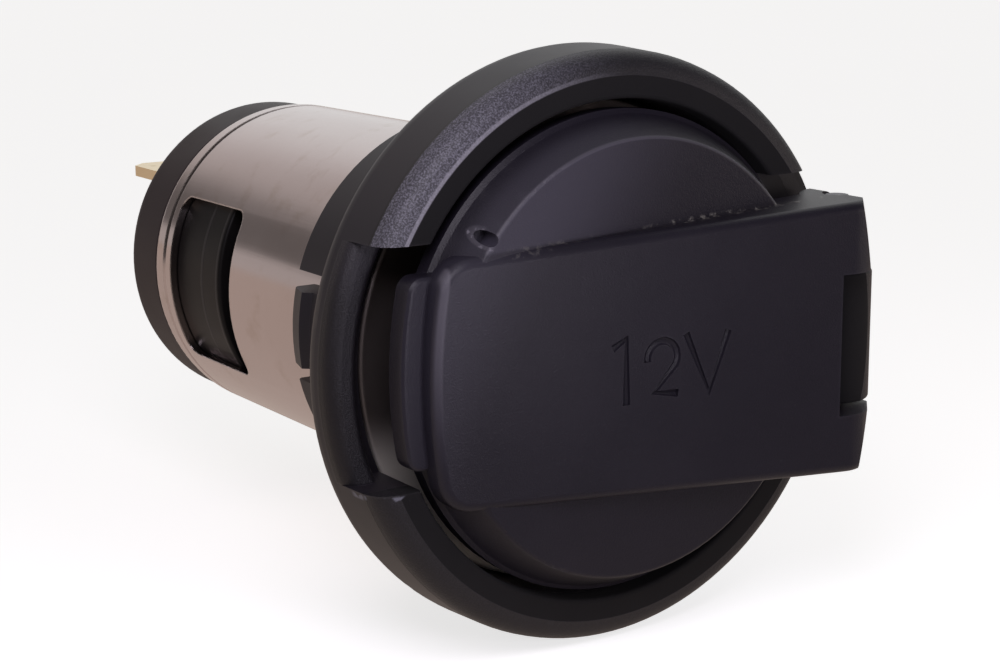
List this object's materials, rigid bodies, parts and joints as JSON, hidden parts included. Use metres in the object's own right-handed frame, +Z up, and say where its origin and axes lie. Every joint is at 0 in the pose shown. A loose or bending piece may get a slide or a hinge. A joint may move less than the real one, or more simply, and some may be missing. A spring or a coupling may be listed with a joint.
{
  "type": "vehicle power socket",
  "caption": "Round panel power socket: a plated metal sleeve in a moulded bezel ring, closed by a sprung hinged flap with a finger tab, with flat terminals at the rear.",
  "frame": {"origin": "on the socket's axis, in the plane of the flange's back face that seats on the panel", "axes": "+Y along the socket's axis towards the terminals at the rear, the lid faces -Y, +X towards the hinge, +Z up"},
  "size_m": [0.036, 0.0596, 0.036],
  "materials": {
    "bezel_plastic": "black moulded, spark-eroded on the crown's bevel, satin elsewhere",
    "lid_plastic": "black moulded, matt",
    "insulator_plastic": "black moulded, satin",
    "cap_plastic": "dark brown-black moulded, satin",
    "nickel_plate": "bright nickel-plated steel with drawing lines",
    "spring_steel": "bare spring wire",
    "pin_steel": "cut steel wire",
    "brass": "stamped brass strip"
  },
  "bodies": {
    "socket": {"bezel_ring": "bezel_plastic", "hinge_pin": "pin_steel", "lid_spring": "spring_steel", "contact_sleeve": "nickel_plate", "inner_insulator": "insulator_plastic", "rear_cap": "cap_plastic", "earth_blade": "brass", "positive_blade": "brass", "centre_contact": "brass", "centre_rivet": "brass"},
    "flap": {"lid": "lid_plastic"}
  },
  "joints": [
    {"name": "lid_hinge", "type": "hinge", "parent": "socket", "child": "flap", "pos_m": [0.01547, -0.0079, 0], "axis": [0, 0, 1], "range_deg": [0, 105], "stiffness_Nm_per_rad": 0.004, "springref_deg": -68.75, "deforming": ["lid_spring"]}
  ]
}
